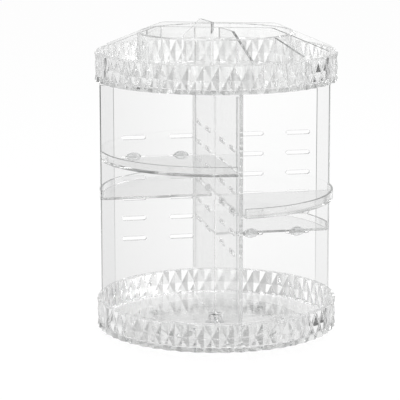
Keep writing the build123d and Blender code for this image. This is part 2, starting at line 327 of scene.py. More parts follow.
def finish_piece(piece, body, material, crease, *nodes):
    """Smooth shading between edges that fold by more than the crease angle, the finish, and the CAD body
    and nodes the piece stands for."""
    mesh = piece.data
    mesh.polygons.foreach_set("use_smooth", np.ones(len(mesh.polygons), dtype=bool))
    mesh.set_sharp_from_angle(angle=crease)
    weights = piece.modifiers.new("Flat faces", "WEIGHTED_NORMAL")
    weights.mode = "FACE_AREA"
    weights.keep_sharp = True
    mesh.materials.clear()
    mesh.materials.append(material)
    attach(piece, body)
    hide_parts(*nodes)
    return piece


def tube(name, points, place):
    """Closed piece from a grid of points whose rows are loops, capped at the first and the last."""
    rows, columns = points.shape[:2]
    caps = [list(range(columns)), list(range((rows - 1) * columns, rows * columns))]
    return new_piece(name, place(points.reshape(-1, 3)), lattice(rows, columns), caps)


def quarter_round(edge, steps):
    """Quarter circle of an edge's radius: the way still to go across, edge * (1 - sin), and the rise,
    edge * (1 - cos)."""
    sweep = np.linspace(0, pi / 2, steps + 1)
    return edge * (1 - np.sin(sweep)), edge * (1 - np.cos(sweep))


def rounded_outline(corners, steps=6, least=0.15 * MM):
    """Closed outline through corners (x, y, radius): each corner is an arc that leaves both runs in line,
    with centre corner + (bisector) * radius / cos(half turn). Straight runs join the arcs."""
    corners = np.asarray(corners, float)
    spots, rounds = corners[:, :2], np.maximum(corners[:, 2], least)
    into = spots - np.roll(spots, 1, axis=0)
    into /= np.linalg.norm(into, axis=1, keepdims=True)
    out = np.roll(into, -1, axis=0)
    side = np.stack([-into[:, 1], into[:, 0]], axis=1)
    turn = np.arctan2((into[:, 0] * out[:, 1] - into[:, 1] * out[:, 0]), (into * out).sum(1))
    hand = np.sign(turn)[:, None]
    start = spots - into * (rounds * np.tan(np.abs(turn) / 2))[:, None]
    sweep = np.linspace(0, 1, steps + 1)[None, :, None] * np.abs(turn)[:, None, None]
    reach = rounds[:, None, None]
    along = reach * np.sin(sweep) * into[:, None, :]
    across = reach * (1 - np.cos(sweep)) * (hand * side)[:, None, :]
    return (start[:, None, :] + along + across).reshape(-1, 2)


def slot_outline(middle, size, steps=8):
    """Stadium outline run clockwise: two half circles of half the height, joined by straight runs."""
    half = size[1] / 2
    sweep = np.linspace(pi / 2, -pi / 2, steps + 1)
    right = np.stack([size[0] / 2 - half + half * np.cos(sweep), half * np.sin(sweep)], axis=1)
    return np.concatenate([right, -right]) + np.asarray(middle)


def inset(outline, distance):
    """Outline moved to its left by a distance: each point moves along the mitre of its two runs."""
    into = outline - np.roll(outline, 1, axis=0)
    into /= np.linalg.norm(into, axis=1, keepdims=True)
    out = np.roll(into, -1, axis=0)
    mitre = into + out
    mitre = np.stack([-mitre[:, 1], mitre[:, 0]], axis=1)
    side = np.stack([-into[:, 1], into[:, 0]], axis=1)
    return outline + distance * mitre / (mitre * side).sum(1, keepdims=True)


def carried(outline, profile):
    """Grid of points: a profile of (inset, height) pairs carried round an outline, one row per pair."""
    rows = [np.column_stack([inset(outline, step), np.full(len(outline), high)]) for step, high in profile]
    return np.stack(rows)


def rounded_edge(low, high, edge, steps=3):
    """Profile of a cut edge from low to high: a quarter round at each end and a straight run between."""
    step, rise = quarter_round(edge, steps)
    lower = np.stack([step, low + rise], axis=1)
    upper = np.stack([step[::-1], high - rise[::-1]], axis=1)
    return np.concatenate([lower, upper])


def fill(loops):
    """Triangles between an outline and its holes, as indices into the loops laid end to end."""
    return tessellate_polygon([[Vector((x, y, 0.0)) for x, y in loop[:, :2].tolist()] for loop in loops])


def straight_edge(low, high):
    """Profile of a plain edge from low to high."""
    return np.array([[0.0, low], [0.0, high]])


def flat(points):
    """Plan points stay as they are."""
    return points


def slab(name, outlines, profile, place=flat, islands=(), relief=0.0):
    """Plate whose outlines carry an edge profile, filled between the outline and its holes at both ends.
    Islands stand out of both ends by the relief, with edges at 45 degrees. place turns (x, y, height) rows
    into the frame."""
    low, high = profile[0, 1], profile[-1, 1]
    lifts = ([[0.0, low], [relief, low - relief]], [[0.0, high], [relief, high + relief]])
    grids = [carried(outline, profile) for outline in outlines]
    grids += [carried(island, np.array(lift)) for lift in lifts for island in islands]
    starts = np.cumsum([0] + [grid.shape[0] * grid.shape[1] for grid in grids])
    points = np.concatenate([grid.reshape(-1, 3) for grid in grids])
    quads = np.concatenate([lattice(*grid.shape[:2], first) for grid, first in zip(grids, starts)])
    firsts = [np.arange(grid.shape[1]) + first for grid, first in zip(grids, starts)]
    lasts = [np.arange(grid.shape[1]) + last - grid.shape[1] for grid, last in zip(grids, starts[1:])]
    plain, lower = len(outlines), len(outlines) + len(islands)
    caps = [loop.tolist() for loop in lasts[plain:]]
    for loops in (firsts[:lower], lasts[:plain] + firsts[lower:]):
        index = np.concatenate(loops)
        triangles = np.array(fill([points[loop] for loop in loops]))
        caps += index[triangles].tolist()
    return new_piece(name, place(points), quads, caps)


def turned(points, turn):
    """Points in plan or in space, turned about the axis."""
    c, s = cos(turn), sin(turn)
    width = points.shape[1]
    return points @ np.array([[c, s, 0], [-s, c, 0], [0, 0, 1]])[:width, :width]


def spun(radius, height, turn):
    """Points at a radius, a height and a turn about the axis. The three spread to one shape."""
    return np.stack(np.broadcast_arrays(radius * np.cos(turn), radius * np.sin(turn), height), axis=-1)


def circle_outline(radius, middle=(0.0, 0.0), count=32):
    """Circle run counterclockwise."""
    sweep = np.arange(count) * 2 * pi / count
    return radius * np.stack([np.cos(sweep), np.sin(sweep)], axis=1) + np.asarray(middle)


def lozenge_radii(sizes):
    """Radii of three rings of side points, at the rim radius and facet_depth below it by turns, round the
    rim and from one ring to the next."""
    level = np.arange(3)[:, None]
    step = np.arange(FACET_POINTS)[None, :]
    return sizes.rim_radius - sizes.facet_depth * ((step + level) % 2)


def tray_profile(sizes, level, pivot):
    """Rows of (radius, height) of a round tray before and after its lozenges, and the heights of its two
    ends on the axis. The rows before run round the pivot's boss, if there is one. Those after run over the
    lip, down to the floor and over the pivot's collar."""
    underside, floor_top, top = level + sizes.seat_gap, level + sizes.floor, level + sizes.rim_height
    lip_radius = sizes.rim_radius - sizes.facet_depth / 2
    inner = sizes.rim_radius - sizes.facet_depth - sizes.wall
    step, rise = quarter_round(sizes.lip_round, 8)
    outer_lip = np.stack([lip_radius - rise, top - step], axis=1)
    inner_lip = np.stack([inner + step, top - rise], axis=1)
    step, rise = quarter_round(sizes.corner, 8)
    foot = np.stack([inner - rise, floor_top + step], axis=1)
    blend = (lip_radius, top - sizes.lip_height + sizes.lip_blend)
    after = [blend, *outer_lip, *inner_lip, *foot]
    if not pivot:
        return [], after, (underside, floor_top)
    before = [
        (pivot.bore_radius, pivot.bore_top),
        (pivot.bore_radius, pivot.boss_level),
        (pivot.boss_radius, pivot.boss_level),
        (pivot.boss_radius, underside),
    ]
    collar_top = floor_top + pivot.collar_height
    after += [(pivot.collar_radius, floor_top), (pivot.collar_radius, collar_top)]
    return before, after, (pivot.bore_top, collar_top)


def folded(patches):
    """Two triangles for each lozenge patch, parted along its low corners. Low corners change places from
    one patch to the next, and from one row of patches to the other."""
    count = np.arange(len(patches))
    low_first = ((count // FACET_POINTS + count) % 2 == 0)[:, None]
    patches = np.where(low_first, np.roll(patches, -1, axis=1), patches)
    return np.concatenate([patches[:, [0, 1, 2]], patches[:, [0, 2, 3]]])


def round_tray(name, sizes, level, pivot):
    """Round tray as rings of points about the axis: ring k stands at radius R_k(u) and height Z_k, and
    only the three lozenge rings change radius with u. Fans close it on the axis, below and above."""
    before, after, axis = tray_profile(sizes, level, pivot)
    facet_top = level + sizes.rim_height - sizes.lip_height
    facet_levels = [level + sizes.seat_gap, (level + facet_top) / 2, facet_top]
    radii = np.array([
        *(np.full(FACET_POINTS, radius) for radius, _ in before),
        *lozenge_radii(sizes),
        *(np.full(FACET_POINTS, radius) for radius, _ in after),
    ])
    heights = [high for _, high in before] + facet_levels + [high for _, high in after]
    step = np.arange(FACET_POINTS)
    rings = spun(radii, np.array(heights)[:, None], step * 2 * pi / FACET_POINTS)
    points = np.concatenate([rings.reshape(-1, 3), [[0, 0, axis[0]], [0, 0, axis[1]]]])
    first = len(before) * FACET_POINTS
    quads = lattice(len(radii), FACET_POINTS)
    below, patches, above = np.split(quads, [first, first + 2 * FACET_POINTS])
    ends, last = len(radii) * FACET_POINTS, (len(radii) - 1) * FACET_POINTS
    following = (step + 1) % FACET_POINTS
    under = np.stack([np.full(FACET_POINTS, ends), following, step], axis=1)
    over = np.stack([np.full(FACET_POINTS, ends + 1), last + step, last + following], axis=1)
    triangles = np.concatenate([folded(patches), under, over])
    return new_piece(name, points, np.concatenate([below, above]), triangles.tolist())


def row_level(sizes, rows_below):
    """Height of a row of slots, from the number of rows below it."""
    return sizes.first_row + rows_below * sizes.row_pitch


def board(name, sizes, place, lap_at_head):
    """Slotted panel: one outline with tabs, notches and rounded corners, and its slots as holes, carried
    through the panel's thickness."""
    tab_in = sizes.tab_radius - sizes.tab_width / 2
    tab_out = sizes.tab_radius + sizes.tab_width / 2
    middle = (sizes.foot + sizes.head) / 2
    lap = sizes.lap_width / 2
    collar = sizes.collar_width / 2
    collar_top = sizes.foot + sizes.collar_height
    low_tab = sizes.foot - sizes.tab_depth
    high_tab = sizes.head + sizes.tab_depth
    foot = [
        (sizes.foot_reach, sizes.step, 0),
        (sizes.foot_reach, sizes.foot, sizes.foot_corner),
        (tab_out, sizes.foot, 0),
        (tab_out, low_tab, 0),
        (tab_in, low_tab, 0),
        (tab_in, sizes.foot, 0),
        (collar, sizes.foot, 0),
        (collar, collar_top, 0),
    ]
    head = [
        (tab_in, sizes.head, 0),
        (tab_in, high_tab, 0),
        (tab_out, high_tab, 0),
        (tab_out, sizes.head, 0),
        (sizes.reach, sizes.head, sizes.head_corner),
        (sizes.reach, sizes.step, 0),
    ]
    if lap_at_head:
        head = [(lap, middle, 0), (lap, sizes.head, 0)] + head
    else:
        foot = foot + [(lap, collar_top, 0), (lap, middle, 0)]
    right = foot[::-1] + head[::-1]
    left = [(-x, y, r) for x, y, r in head + foot]
    outlines = [rounded_outline(right + left)]
    size = (sizes.slot_length, sizes.slot_height)
    for row in range(sizes.row_count):
        for radius in (-sizes.slot_outer, -sizes.slot_inner, sizes.slot_inner, sizes.slot_outer):
            outlines.append(slot_outline((radius, row_level(sizes, row)), size))
    profile = rounded_edge(-sizes.thick / 2, sizes.thick / 2, sizes.edge_round)
    return slab(name, outlines, profile, place, end_bands(sizes), sizes.band_relief)


def end_bands(sizes):
    """Outlines of the flat bands along both ends of a panel, from above the rim to below the upper corner."""
    outer, inner = sizes.reach - 2 * sizes.edge_round, sizes.reach - sizes.band_width
    low, high = sizes.step + sizes.head_corner, sizes.head - sizes.head_corner
    bands = []
    for left, right in ((inner, outer), (-outer, -inner)):
        corners = [(left, low, 0), (right, low, 0), (right, high, 0), (left, high, 0)]
        bands.append(rounded_outline(corners, least=2 * sizes.band_relief))
    return bands


def on_left_right(points, shift=(0.0, 0.0, 0.0)):
    """Panel across the width: its outline lies in X and Z. A shift moves what is hung on it."""
    return points[:, [0, 2, 1]] + np.array(shift)


def on_front_back(points):
    """Panel from front to back: its outline lies in Y and Z."""
    return points[:, [2, 0, 1]]


def quarter_outline(sizes):
    """Quarter-round plan at -X and -Y: two sides at their distances from the panels, an arc about the
    axis, and three rounded corners that touch their neighbours in line."""
    radius, corner = sizes.radius, sizes.corner
    inner = radius - corner
    free, hook = -sizes.free_side - corner, -sizes.hook_side - corner
    far_x, far_y = -sqrt(inner**2 - hook**2), -sqrt(inner**2 - free**2)
    first, last = atan2(hook, far_x) + 2 * pi, atan2(far_y, free) + 2 * pi

    def arc(middle, size, start, end, steps):
        sweep = np.linspace(start, end, steps + 1)
        return size * np.stack([np.cos(sweep), np.sin(sweep)], axis=1) + np.asarray(middle)

    return np.concatenate([
        arc((free, hook), corner, 0, pi / 2, 8),
        arc((far_x, hook), corner, pi / 2, first, 8),
        arc((0, 0), radius, first, last, 72)[1:-1],
        arc((free, far_y), corner, last, 2 * pi, 8),
    ])


def dish(name, sizes, low):
    """Quarter tray's floor and arc wall: a plate of the plan as high as the wall, less a drum about the
    axis that reaches down to the floor. The drum's profile leaves a rounded corner on the floor and
    rounds the wall's inner rim."""
    edge, top, floor = sizes.edge_round, low + sizes.height, low + sizes.floor
    plate = slab(name, [quarter_outline(sizes)], rounded_edge(low, top, edge))
    step, rise = quarter_round(edge, 4)
    foot = np.stack([step, floor + rise], axis=1)
    rim = np.stack([-rise, top - step], axis=1)
    profile = np.concatenate([foot, rim, [[-edge, top + edge]]])
    drum = slab("drum", [circle_outline(sizes.radius - sizes.wall, count=288)], profile)
    return combine(plate, [drum], "DIFFERENCE")


def half_oval(size, cut, upper, steps=24):
    """Oval outline cut straight across at a height, its upper or lower part kept."""
    start = np.arcsin(-cut / (size[1] / 2))
    sweep = np.linspace(start, pi - start, steps + 1)
    part = np.stack([size[0] / 2 * np.cos(sweep), size[1] / 2 * np.sin(sweep)], axis=1)
    return part if upper else -part


def button(name, outline, back, front, dome, place, steps=6):
    """Domed plate: the outline shrinks towards the middle of its straight side by the share
    dome * (1 - cos) while it rises by sin, from its back to its front."""
    sweep = np.linspace(0, pi / 2, steps + 1)
    middle = (outline[0] + outline[-1]) / 2
    share = 1 - dome * (1 - np.cos(sweep))[:, None, None]
    plan = middle + share * (outline - middle)
    rise = np.broadcast_to(back + (front - back) * np.sin(sweep)[:, None, None], (*plan.shape[:2], 1))
    return tube(name, np.concatenate([plan, rise], axis=-1), place)


def quarter_tray(name, panel, sizes, middle, turn):
    """Quarter tray with two hooks in the slots whose middle is at a height. A hook is a bar through the
    slot, a domed half oval behind the panel that stands up and one before it that hangs down."""
    half = sizes.hook_thick / 2
    edge = sizes.edge_round
    shell = dish(name, sizes, middle - half)
    size = (sizes.lip_width, sizes.lip_height)
    behind, before = sizes.lip_gap, sizes.stop_thick - sizes.hook_side
    near, far = -sizes.hook_side - sizes.wall / 2, behind + sizes.lip_thick - edge
    profile = rounded_edge(middle - half + SUNK, middle + half - SUNK, edge / 2)
    lip, stop = half_oval(size, half, True), half_oval(size, half, False)
    hooks = []
    for spot in (panel.slot_inner, panel.slot_outer):
        left, right = -spot - sizes.hook_width / 2, -spot + sizes.hook_width / 2
        corners = [(left, near, edge), (right, near, edge), (right, far, edge), (left, far, edge)]
        upright = partial(on_left_right, shift=(-spot, 0.0, middle))
        hooks.append(slab("bar", [rounded_outline(corners)], profile))
        hooks.append(button("lip", lip, behind, behind + sizes.lip_thick, sizes.dome, upright))
        hooks.append(button("stop", stop, before, -sizes.hook_side - SUNK, sizes.dome, upright))
    combine(shell, hooks, "UNION")
    points = np.empty(len(shell.data.vertices) * 3)
    shell.data.vertices.foreach_get("co", points)
    shell.data.vertices.foreach_set("co", turned(points.reshape(-1, 3), turn).ravel())
    shell.data.update()
    return shell


def wall_top(radius, sizes):
    """Height of the insert's tops: level out to the flat radius, then falling evenly to the rim."""
    fall = np.clip((radius - sizes.flat_radius) / (sizes.reach - sizes.flat_radius), 0, 1)
    return sizes.foot + sizes.height - fall * (sizes.height - sizes.end_height)


def wall_foot(radius, sizes):
    """Height of the insert's underside: on the floor, and lifted at 45 degrees over the tray's corner."""
    return sizes.foot + np.maximum(0, radius - (sizes.reach - sizes.foot_corner))


def wall_section(sizes, steps=3):
    """Section of a wall as (offset across, share of height, offset up) rows, with rounded edges."""
    step, up = quarter_round(sizes.edge_round, steps)
    out = sizes.wall / 2 - step
    right_foot = np.stack([out, 0 * up, up], axis=1)
    right_top = np.stack([out[::-1], 0 * up + 1, -up[::-1]], axis=1)
    left_top = right_top[::-1] * (-1, 1, 1)
    left_foot = right_foot[::-1] * (-1, 1, 1)
    return np.concatenate([right_foot, right_top, left_top, left_foot])


def straight_wall(name, sizes, start, heading, first, stations=72):
    """Wall along a line from start in a heading: the section is carried along it to the reach circle,
    with its foot and top from the radius of each point. first is where it begins, or None for the circle."""
    section = wall_section(sizes)
    across, share, up = section.T
    ahead = np.array([cos(heading), sin(heading)])
    side = np.array([-ahead[1], ahead[0]])
    base = np.asarray(start)[None, :] + across[:, None] * side
    along = base @ ahead
    root = np.sqrt(sizes.reach**2 - (base**2).sum(1) + along**2)
    end = root - along
    begin = -root - along if first is None else np.full_like(end, first)
    travel = np.linspace(0, 1, stations)[:, None]
    run = begin + travel * (end - begin)
    plan = base[None] + run[..., None] * ahead
    radius = np.linalg.norm(plan, axis=-1)
    low, high = wall_foot(radius, sizes), wall_top(radius, sizes)
    points = np.concatenate([plan, (low + share * (high - low) + up)[..., None]], axis=-1)
    return tube(name, points, partial(turned, turn=sizes.turn))


def ring_wall(name, sizes, stations=144):
    """Ring of the insert: the wall section carried round the axis, its top from each point's radius."""
    section = wall_section(sizes)
    across, share, up = section.T
    radius = sizes.ring_radius - sizes.wall / 2 + across
    height = sizes.foot + share * (wall_top(radius, sizes) - sizes.foot) + up
    sweep = (np.arange(stations) * 2 * pi / stations)[:, None]
    points = spun(radius, height, sweep).reshape(-1, 3)
    return new_piece(name, points, lattice(stations, len(section), closed_rows=True))


# Materials


def node(tree, kind, place, **values):
    """New node with its properties and socket values set by name."""
    made = tree.nodes.new(kind)
    made.location = place
    for name, value in values.items():
        if hasattr(made, name):
            setattr(made, name, value)
        else:
            made.inputs[name.replace("_", " ")].default_value = value
    return made


def sums(tree, operation, *values):
    """Output of a Math node of sockets and numbers."""
    made = tree.nodes.new("ShaderNodeMath")
    made.operation = operation
    for socket, value in zip(made.inputs, values):
        if isinstance(value, bpy.types.NodeSocket):
            tree.links.new(value, socket)
        else:
            socket.default_value = value
    return made.outputs["Value"]


MOULDED_VALUES = ("Wave size", "Grain size", "Grain share", "Least roughness", "Most roughness")


def moulded_surface():
    """Node group of moulded plastic: slow flow waves and a fine grain as a height, and a haze of handling
    as a roughness."""
    found = bpy.data.node_groups.get("Moulded surface")
    if found:
        return found
    group = bpy.data.node_groups.new("Moulded surface", "ShaderNodeTree")
    sockets = group.interface
    for name in MOULDED_VALUES:
        sockets.new_socket(name, in_out="INPUT", socket_type="NodeSocketFloat")
    for name in ("Height", "Roughness"):
        sockets.new_socket(name, in_out="OUTPUT", socket_type="NodeSocketFloat")
    inside = node(group, "NodeGroupInput", (-900, 0))
    outside = node(group, "NodeGroupOutput", (500, 0))
    spot = node(group, "ShaderNodeTexCoord", (-900, 300))
    wave = node(group, "ShaderNodeTexNoise", (-600, 300), Detail=1.0)
    grain = node(group, "ShaderNodeTexNoise", (-600, 50), Detail=2.0)
    haze = node(group, "ShaderNodeTexNoise", (-600, -250), Detail=4.0, Roughness=0.7)
    mix = node(group, "ShaderNodeMix", (-200, 200), data_type="FLOAT")
    spread = node(group, "ShaderNodeMapRange", (0, -200), From_Min=0.4, From_Max=0.75)
    link = group.links.new
    for texture in (wave, grain, haze):
        link(spot.outputs["Object"], texture.inputs["Vector"])
    link(inside.outputs["Wave size"], wave.inputs["Scale"])
    link(inside.outputs["Wave size"], haze.inputs["Scale"])
    link(inside.outputs["Grain size"], grain.inputs["Scale"])
    link(inside.outputs["Grain share"], mix.inputs["Factor"])
    link(wave.outputs["Fac"], mix.inputs["A"])
    link(grain.outputs["Fac"], mix.inputs["B"])
    link(mix.outputs["Result"], outside.inputs["Height"])
    link(haze.outputs["Fac"], spread.inputs["Value"])
    link(inside.outputs["Least roughness"], spread.inputs["To Min"])
    link(inside.outputs["Most roughness"], spread.inputs["To Max"])
    link(spread.outputs["Result"], outside.inputs["Roughness"])
    return group


def moulded_material(name, rgb, moulding, bump, **sockets):
    """Material with a Principled shader whose roughness and normal come from the moulded surface. moulding
    holds the group's values in their order, bump its strength and height, and sockets what else is set."""
    found = bpy.data.materials.get(name)
    if found:
        return found
    material = bpy.data.materials.new(name)
    material.use_nodes = True
    tree = material.node_tree
    shader = tree.nodes["Principled BSDF"]
    shader.inputs["Base Color"].default_value = (*rgb, 1.0)
    for socket, value in sockets.items():
        shader.inputs[socket.replace("_", " ")].default_value = value
    surface = node(tree, "ShaderNodeGroup", (-700, 0), node_tree=moulded_surface())
    for socket, value in zip(MOULDED_VALUES, moulding):
        surface.inputs[socket].default_value = value
    relief = node(tree, "ShaderNodeBump", (-350, -200), Strength=bump[0], Distance=bump[1])
    tree.links.new(surface.outputs["Height"], relief.inputs["Height"])
    tree.links.new(relief.outputs["Normal"], shader.inputs["Normal"])
    tree.links.new(surface.outputs["Roughness"], shader.inputs["Roughness"])
    return material


def clear_plastic(finish, name="Clear plastic", density=None, tint=None):
    """Clear glossy plastic: refracting, darker along thick edges, and letting the lamps' light through. A
    tint darker than the clear colour paints shade on the faces that get it.
    """
    found = bpy.data.materials.get(name)
    if found:
        return found
    moulding = (45.0, 1400.0, 0.06, 0.0, 0.02)
    material = moulded_material(
        name, tint or finish.clear, moulding, (0.15, 0.0004), Transmission_Weight=1.0, IOR=finish.clear_bend
    )
    tree = material.node_tree
    shader = tree.nodes["Principled BSDF"]
    out = tree.nodes["Material Output"]
    path = node(tree, "ShaderNodeLightPath", (0, 500))
    through = node(tree, "ShaderNodeBsdfTransparent", (0, -400), Color=(*finish.clear_pass, 1.0))
    either = node(tree, "ShaderNodeMixShader", (350, 100))
    depth = node(tree, "ShaderNodeVolumeAbsorption", (350, -250))
    depth.inputs["Color"].default_value = (*finish.clear_depth, 1.0)
    depth.inputs["Density"].default_value = finish.clear_density if density is None else density
    deep = sums(tree, "GREATER_THAN", path.outputs["Ray Depth"], DEEP_RAY)
    tree.links.new(sums(tree, "MAXIMUM", path.outputs["Is Shadow Ray"], deep), either.inputs["Fac"])
    tree.links.new(shader.outputs["BSDF"], either.inputs[1])
    tree.links.new(through.outputs["BSDF"], either.inputs[2])
    tree.links.new(either.outputs["Shader"], out.inputs["Surface"])
    tree.links.new(depth.outputs["Volume"], out.inputs["Volume"])
    return material


def face_rows(piece, value):
    """The center or the normal of every face of a piece, as rows."""
    faces = piece.data.polygons
    rows = np.empty(len(faces) * 3)
    faces.foreach_get(value, rows)
    return rows.reshape(-1, 3)


def shade(piece, *choices):
    """Gives chosen faces of a piece materials of their own, here darker tints that paint shade on them. A
    choice is a mask of faces and a material.
    """
    slots = np.zeros(len(piece.data.polygons), np.int32)
    for chosen, material in choices:
        slots[chosen] = len(piece.data.materials)
        piece.data.materials.append(material)
    piece.data.polygons.foreach_set("material_index", slots)
    piece.data.update()


def frosted_plastic(finish):
    """Milky plastic of the bearing."""
    moulding = (120.0, 2500.0, 0.4, 0.1, 0.22)
    return moulded_material(
        "Frosted plastic", finish.frosted, moulding, (0.2, 0.0003), Transmission_Weight=0.97, IOR=1.49
    )


def soft_rubber(finish):
    """Milky soft pads."""
    moulding = (300.0, 4000.0, 0.6, 0.45, 0.65)
    return moulded_material(
        "Soft rubber", finish.rubber, moulding, (0.35, 0.0003), Transmission_Weight=0.25
    )


def plated_steel(finish):
    """Zinc plated steel."""
    moulding = (500.0, 6000.0, 0.5, 0.22, 0.4)
    return moulded_material("Plated steel", finish.steel, moulding, (0.3, 0.0002), Metallic=1.0)


def dress_node(name, material):
    """Gives a CAD node that stays in view its finish."""
    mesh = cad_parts[name].data
    mesh.materials.clear()
    mesh.materials.append(material)


# Operators


class ORGANIZER_OT_round_trays(bpy.types.Operator):
    """Build the bottom and top trays with their lozenge-cut rims"""

    bl_idname = "organizer.round_trays"
    bl_label = "Round Trays"

    def execute(self, context):
        scene = context.scene
        sizes, pivot = scene.organizer_round, scene.organizer_pivot
        plastic = clear_plastic(scene.organizer_finish)
        depth = sizes.socket_depth
        bottom, top = sizes.bottom_level, sizes.top_level
        bottom_floor = bottom + sizes.floor
        cuts = {
            "bottom_tray": (bottom, pivot, bottom_floor - depth, bottom_floor + OVERCUT),
            "top_tray": (top, None, top - OVERCUT, top + depth),
        }
        for tray, (level, hub, low, high) in cuts.items():
            piece = round_tray(f"round_{tray}", sizes, level, hub)
            cutters = self.sockets(sizes, low, high)
            if hub:
                cutters += self.screw_holes(hub, level)
            combine(piece, cutters, "DIFFERENCE")
            finish_piece(piece, "carousel", plastic, FACET_CREASE, tray)
        return {"FINISHED"}

    def sockets(self, sizes, low, high):
        """Cutters of the four sockets for the panel tabs, from low to high."""
        corners = np.array([(-1, -1), (1, -1), (1, 1), (-1, 1)])
        outline = corners * (sizes.socket_length / 2, sizes.socket_width / 2) + (sizes.socket_radius, 0)
        profile = straight_edge(low, high)
        return [slab("socket", [turned(outline, side * pi / 2)], profile) for side in range(4)]

    def screw_holes(self, hub, level):
        """Cutters of the four holes for the race screws, halfway between the sockets."""
        profile = straight_edge(level - OVERCUT, level + hub.hole_depth)
        turns = [radians(45 + 90 * side) for side in range(4)]
        spots = [(hub.hole_circle * cos(turn), hub.hole_circle * sin(turn)) for turn in turns]
        return [slab("hole", [circle_outline(hub.hole_radius, spot)], profile) for spot in spots]


class ORGANIZER_OT_panels(bpy.types.Operator):
    """Build the two slotted panels that cross on the axis"""

    bl_idname = "organizer.panels"
    bl_label = "Crossed Panels"

    def execute(self, context):
        scene = context.scene
        sizes = scene.organizer_panel
        finish = scene.organizer_finish
        plastic = clear_plastic(finish)
        bands = clear_plastic(finish, "Clear plastic with painted band shade", tint=finish.bands)
        proud = sizes.thick / 2 + PAST_SLOPE * sizes.band_relief
        for side, place, lap_at_head, axis in (
            ("left_right", on_left_right, True, 1),
            ("front_back", on_front_back, False, 0),
        ):
            piece = board(f"slotted_panel_{side}", sizes, place, lap_at_head)
            finish_piece(piece, "carousel", plastic, EDGE_CREASE, f"{side}_panel")
            # Painted shade: the faces of the bands get the darker band tint
            shade(piece, (np.abs(face_rows(piece, "center")[:, axis]) > proud, bands))
        return {"FINISHED"}


class ORGANIZER_OT_quarter_trays(bpy.types.Operator):
    """Build the four quarter trays and hook them into their slots"""

    bl_idname = "organizer.quarter_trays"
    bl_label = "Quarter Trays"

    def execute(self, context):
        scene = context.scene
        sizes, panel = scene.organizer_quarter, scene.organizer_panel
        finish = scene.organizer_finish
        plastic = clear_plastic(finish)
        hooks = clear_plastic(finish, "Clear plastic with painted hook shade", tint=finish.hooks)
        edges = clear_plastic(finish, "Clear plastic with painted edge shade", tint=finish.edges)
        half = sizes.hook_thick / 2
        for place, side in enumerate(("front_left", "front_right", "back_right", "back_left")):
            turn = place * pi / 2
            row = row_level(panel, getattr(sizes, side))
            piece = quarter_tray(f"hook_tray_{side}", panel, sizes, row, turn)
            finish_piece(piece, f"{side}_tray", plastic, EDGE_CREASE, f"{side}_tray")
            _, depth, height = turned(face_rows(piece, "center"), -turn).T
            upward = face_rows(piece, "normal")[:, 2]
            beyond = depth > -sizes.hook_side + NEAR
            # Painted shade: the oval hook plates behind the panel get the darker hook tint
            plates = np.abs(height - row) > half - SUNK / 2
            # Painted shade: the top of the arc wall and the narrow sides of the floor get the dark edge tint
            rim = (height > row - half + sizes.height - sizes.edge_round) & (upward > LEVEL)
            floor_edge_painted_shade = ~plates & (np.abs(upward) < LEVEL)
            shade(piece, (beyond & plates, hooks), (~beyond & (floor_edge_painted_shade | rim), edges))
        return {"FINISHED"}


class ORGANIZER_OT_divider(bpy.types.Operator):
    """Build the divider insert of the top tray"""

    bl_idname = "organizer.divider"
    bl_label = "Divider Insert"

    def execute(self, context):
        scene = context.scene
        sizes = scene.organizer_divider
        finish = scene.organizer_finish
        edges = clear_plastic(finish, "Clear plastic with painted edge shade", tint=finish.edges)
        middle = sizes.ring_radius - sizes.wall / 2
        ring = ring_wall("divider_walls", sizes)
        walls = []
        for side, flip in ((-1, 0.0), (1, pi)):
            walls.append(straight_wall("long", sizes, (0.0, side * sizes.long_distance), 0.0, None))
            foot = (-side * sizes.cross_foot, side * sizes.long_distance)
            walls.append(straight_wall("cross", sizes, foot, sizes.cross_angle + flip, 0.0))
            walls.append(straight_wall("spoke", sizes, (0.0, 0.0), sizes.spoke_angle + flip, middle))
        combine(ring, walls, "UNION")
        finish_piece(ring, "divider", clear_plastic(finish), EDGE_CREASE, "divider_insert")
        # Painted shade: the level tops of the walls, bar the ring, get the dark edge tint
        radius = np.linalg.norm(face_rows(ring, "center")[:, :2], axis=1)
        on_ring = np.abs(radius - middle) < sizes.wall / 2
        shade(ring, ((face_rows(ring, "normal")[:, 2] > LEVEL) & ~on_ring, edges))
        return {"FINISHED"}


class ORGANIZER_OT_turntable(bpy.types.Operator):
    """Finish the turntable's CAD solids: base, feet, bearing, race and fasteners"""

    bl_idname = "organizer.turntable"
    bl_label = "Turntable"

    def execute(self, context):
        finish = context.scene.organizer_finish
        plates = clear_plastic(finish, "Clear base plastic", density=0.0)
        frosted, steel = frosted_plastic(finish), plated_steel(finish)
        finishes = {
            "base_plate": plates,
            "upper_race": plates,
            "base_feet": soft_rubber(finish),
            "ball_cage": frosted,
            "bearing_balls": frosted,
            "race_screws": steel,
            "pivot_screw": steel,
            "pivot_washer": steel,
        }
        for name, material in finishes.items():
            dress_node(name, material)
        return {"FINISHED"}


